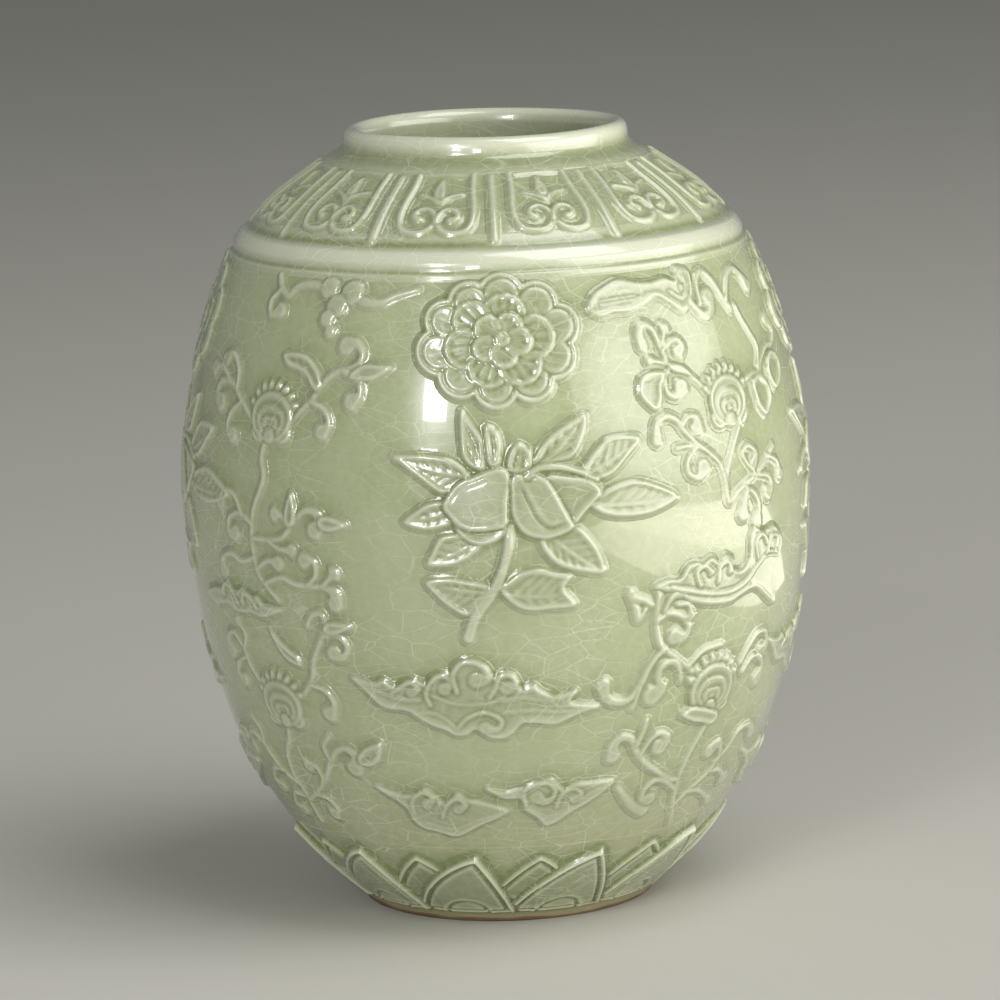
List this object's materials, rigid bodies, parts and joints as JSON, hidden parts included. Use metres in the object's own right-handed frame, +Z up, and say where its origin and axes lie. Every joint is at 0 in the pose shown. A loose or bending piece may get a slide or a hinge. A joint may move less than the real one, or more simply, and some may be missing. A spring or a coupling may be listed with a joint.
{
  "type": "vase",
  "caption": "Round-bellied glazed stoneware vase with a short rolled neck, a raised shoulder ring, flower and cloud relief, and a lotus-petal band above a plain foot.",
  "frame": {"origin": "centre of the underside of the foot ring, on the surface the vase stands on", "axes": "+Z up along the axis of the vase; -Y is the front, the middle of one peony panel; +X to the right of it"},
  "size_m": [0.1958, 0.1958, 0.2398],
  "materials": {
    "glazed_wall": "glossy pale green crackle glaze on stoneware",
    "glazed_relief": "glossy glaze, thinner and paler on the raised clay",
    "bare_foot": "unglazed fired clay, rough and brown"
  },
  "bodies": {
    "root": {"body_wall": "glazed_wall", "neck_ring": "glazed_relief", "shoulder_cordon": "glazed_relief", "foot_ring": "bare_foot", "petal_band": "glazed_wall", "peony_flower_1": "glazed_relief", "peony_flower_2": "glazed_relief", "peony_flower_3": "glazed_relief", "peony_flower_4": "glazed_relief", "peony_spray_1": "glazed_relief", "peony_spray_2": "glazed_relief", "peony_spray_3": "glazed_relief", "peony_spray_4": "glazed_relief", "cloud_large_1": "glazed_relief", "cloud_large_2": "glazed_relief", "cloud_large_3": "glazed_relief", "cloud_large_4": "glazed_relief", "cloud_pair_1": "glazed_relief", "cloud_pair_2": "glazed_relief", "cloud_pair_3": "glazed_relief", "cloud_pair_4": "glazed_relief", "hanging_scroll_1": "glazed_relief", "hanging_scroll_2": "glazed_relief", "hanging_scroll_3": "glazed_relief", "hanging_scroll_4": "glazed_relief", "vine_upper_1": "glazed_relief", "vine_upper_2": "glazed_relief", "vine_upper_3": "glazed_relief", "vine_upper_4": "glazed_relief", "vine_lower_1": "glazed_relief", "vine_lower_2": "glazed_relief", "vine_lower_3": "glazed_relief", "vine_lower_4": "glazed_relief", "lappet_01": "glazed_relief", "lappet_02": "glazed_relief", "lappet_03": "glazed_relief", "lappet_04": "glazed_relief", "lappet_05": "glazed_relief", "lappet_06": "glazed_relief", "lappet_07": "glazed_relief", "lappet_08": "glazed_relief", "lappet_09": "glazed_relief", "lappet_10": "glazed_relief", "lappet_11": "glazed_relief", "lappet_12": "glazed_relief", "bar_01": "glazed_relief", "bar_02": "glazed_relief", "bar_03": "glazed_relief", "bar_04": "glazed_relief", "bar_05": "glazed_relief", "bar_06": "glazed_relief", "bar_07": "glazed_relief", "bar_08": "glazed_relief", "bar_09": "glazed_relief", "bar_10": "glazed_relief", "bar_11": "glazed_relief", "bar_12": "glazed_relief"}
  },
  "joints": []
}
